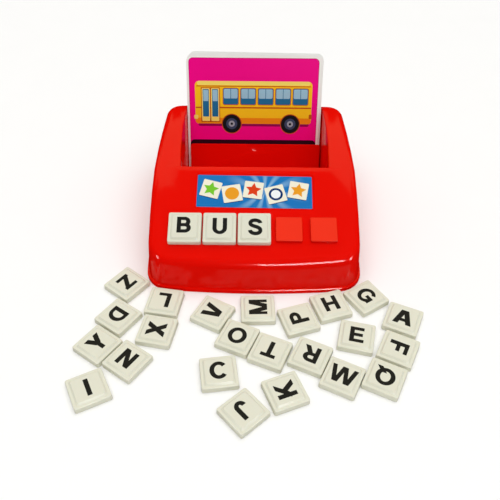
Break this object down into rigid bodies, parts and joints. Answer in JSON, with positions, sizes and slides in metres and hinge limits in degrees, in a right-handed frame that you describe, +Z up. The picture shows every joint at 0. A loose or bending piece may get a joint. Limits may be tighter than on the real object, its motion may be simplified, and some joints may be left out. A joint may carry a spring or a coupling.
{
  "type": "letter matching spelling game",
  "caption": "Sloped console with raised letter seats, a card well with a word flap and picture cards, and loose letter tiles that drop onto the seats.",
  "frame": {"origin": "on the surface it stands on, in the middle of the console's front foot", "axes": "+X to the player's right, +Y away from the player, +Z up"},
  "size_m": [0.3379, 0.4054, 0.1421],
  "materials": {
    "red_plastic": "glossy moulded red",
    "red_flap": "glossy moulded red",
    "label_print": "glossy printed sticker",
    "card_print": "printed, satin coated board",
    "card_board": "white board",
    "cream_plastic": "moulded cream"
  },
  "bodies": {
    "console": {"console_shell": "red_plastic", "label": "label_print"},
    "word_flap": {"word_flap": "red_flap"},
    "spare_card_1": {"spare_card_1": "card_board"},
    "spare_card_2": {"spare_card_2": "card_board"},
    "spare_card_3": {"spare_card_3": "card_board"},
    "spare_card_4": {"spare_card_4": "card_board"},
    "spare_card_5": {"spare_card_5": "card_board"},
    "picture_card": {"picture_card": "card_print"},
    "tile_a": {"tile_a": "cream_plastic"},
    "tile_b": {"tile_b": "cream_plastic"},
    "tile_c": {"tile_c": "cream_plastic"},
    "tile_d": {"tile_d": "cream_plastic"},
    "tile_e": {"tile_e": "cream_plastic"},
    "tile_f": {"tile_f": "cream_plastic"},
    "tile_g": {"tile_g": "cream_plastic"},
    "tile_h": {"tile_h": "cream_plastic"},
    "tile_i": {"tile_i": "cream_plastic"},
    "tile_j": {"tile_j": "cream_plastic"},
    "tile_k": {"tile_k": "cream_plastic"},
    "tile_l": {"tile_l": "cream_plastic"},
    "tile_m": {"tile_m": "cream_plastic"},
    "tile_n": {"tile_n": "cream_plastic"},
    "tile_o": {"tile_o": "cream_plastic"},
    "tile_p": {"tile_p": "cream_plastic"},
    "tile_q": {"tile_q": "cream_plastic"},
    "tile_r": {"tile_r": "cream_plastic"},
    "tile_s": {"tile_s": "cream_plastic"},
    "tile_t": {"tile_t": "cream_plastic"},
    "tile_u": {"tile_u": "cream_plastic"},
    "tile_v": {"tile_v": "cream_plastic"},
    "tile_w": {"tile_w": "cream_plastic"},
    "tile_x": {"tile_x": "cream_plastic"},
    "tile_y": {"tile_y": "cream_plastic"},
    "tile_z": {"tile_z": "cream_plastic"}
  },
  "joints": [
    {"name": "word_flap_hinge", "type": "hinge", "parent": "console", "child": "word_flap", "pos_m": [0, 0.18349, 0.0125], "axis": [1, 0, 0], "range_deg": [0, 108]},
    {"name": "spare_card_1_lift", "type": "slide", "parent": "console", "child": "spare_card_1", "axis": [0, 0.3502, 0.9367], "range_m": [0, 0.15]},
    {"name": "spare_card_2_lift", "type": "slide", "parent": "console", "child": "spare_card_2", "axis": [0, 0.3502, 0.9367], "range_m": [0, 0.15]},
    {"name": "spare_card_3_lift", "type": "slide", "parent": "console", "child": "spare_card_3", "axis": [0, 0.3502, 0.9367], "range_m": [0, 0.15]},
    {"name": "spare_card_4_lift", "type": "slide", "parent": "console", "child": "spare_card_4", "axis": [0, 0.3502, 0.9367], "range_m": [0, 0.15]},
    {"name": "spare_card_5_lift", "type": "slide", "parent": "console", "child": "spare_card_5", "axis": [0, 0.3502, 0.9367], "range_m": [0, 0.15]},
    {"name": "picture_card_lift", "type": "slide", "parent": "console", "child": "picture_card", "axis": [0, 0.3502, 0.9367], "range_m": [0, 0.15]},
    {"name": "tile_a_lift", "type": "slide", "parent": "console", "child": "tile_a", "axis": [0, 0, 1], "range_m": [0, 0.05]},
    {"name": "tile_b_lift", "type": "slide", "parent": "console", "child": "tile_b", "axis": [0, -0.3535, 0.9354], "range_m": [0, 0.05]},
    {"name": "tile_c_lift", "type": "slide", "parent": "console", "child": "tile_c", "axis": [0, 0, 1], "range_m": [0, 0.05]},
    {"name": "tile_d_lift", "type": "slide", "parent": "console", "child": "tile_d", "axis": [0, 0, 1], "range_m": [0, 0.05]},
    {"name": "tile_e_lift", "type": "slide", "parent": "console", "child": "tile_e", "axis": [0, 0, 1], "range_m": [0, 0.05]},
    {"name": "tile_f_lift", "type": "slide", "parent": "console", "child": "tile_f", "axis": [0, 0, 1], "range_m": [0, 0.05]},
    {"name": "tile_g_lift", "type": "slide", "parent": "console", "child": "tile_g", "axis": [0, 0, 1], "range_m": [0, 0.05]},
    {"name": "tile_h_lift", "type": "slide", "parent": "console", "child": "tile_h", "axis": [0, 0, 1], "range_m": [0, 0.05]},
    {"name": "tile_i_lift", "type": "slide", "parent": "console", "child": "tile_i", "axis": [0, 0, 1], "range_m": [0, 0.05]},
    {"name": "tile_j_lift", "type": "slide", "parent": "console", "child": "tile_j", "axis": [0, 0, 1], "range_m": [0, 0.05]},
    {"name": "tile_k_lift", "type": "slide", "parent": "console", "child": "tile_k", "axis": [0, 0, 1], "range_m": [0, 0.05]},
    {"name": "tile_l_lift", "type": "slide", "parent": "console", "child": "tile_l", "axis": [0, 0, 1], "range_m": [0, 0.05]},
    {"name": "tile_m_lift", "type": "slide", "parent": "console", "child": "tile_m", "axis": [0, 0, 1], "range_m": [0, 0.05]},
    {"name": "tile_n_lift", "type": "slide", "parent": "console", "child": "tile_n", "axis": [0, 0, 1], "range_m": [0, 0.05]},
    {"name": "tile_o_lift", "type": "slide", "parent": "console", "child": "tile_o", "axis": [0, 0, 1], "range_m": [0, 0.05]},
    {"name": "tile_p_lift", "type": "slide", "parent": "console", "child": "tile_p", "axis": [0, 0, 1], "range_m": [0, 0.05]},
    {"name": "tile_q_lift", "type": "slide", "parent": "console", "child": "tile_q", "axis": [0, 0, 1], "range_m": [0, 0.05]},
    {"name": "tile_r_lift", "type": "slide", "parent": "console", "child": "tile_r", "axis": [0, 0, 1], "range_m": [0, 0.05]},
    {"name": "tile_s_lift", "type": "slide", "parent": "console", "child": "tile_s", "axis": [0, -0.3535, 0.9354], "range_m": [0, 0.05]},
    {"name": "tile_t_lift", "type": "slide", "parent": "console", "child": "tile_t", "axis": [0, 0, 1], "range_m": [0, 0.05]},
    {"name": "tile_u_lift", "type": "slide", "parent": "console", "child": "tile_u", "axis": [0, -0.3535, 0.9354], "range_m": [0, 0.05]},
    {"name": "tile_v_lift", "type": "slide", "parent": "console", "child": "tile_v", "axis": [0, 0, 1], "range_m": [0, 0.05]},
    {"name": "tile_w_lift", "type": "slide", "parent": "console", "child": "tile_w", "axis": [0, 0, 1], "range_m": [0, 0.05]},
    {"name": "tile_x_lift", "type": "slide", "parent": "console", "child": "tile_x", "axis": [0, 0, 1], "range_m": [0, 0.05]},
    {"name": "tile_y_lift", "type": "slide", "parent": "console", "child": "tile_y", "axis": [0, 0, 1], "range_m": [0, 0.05]},
    {"name": "tile_z_lift", "type": "slide", "parent": "console", "child": "tile_z", "axis": [0, 0, 1], "range_m": [0, 0.05]}
  ]
}
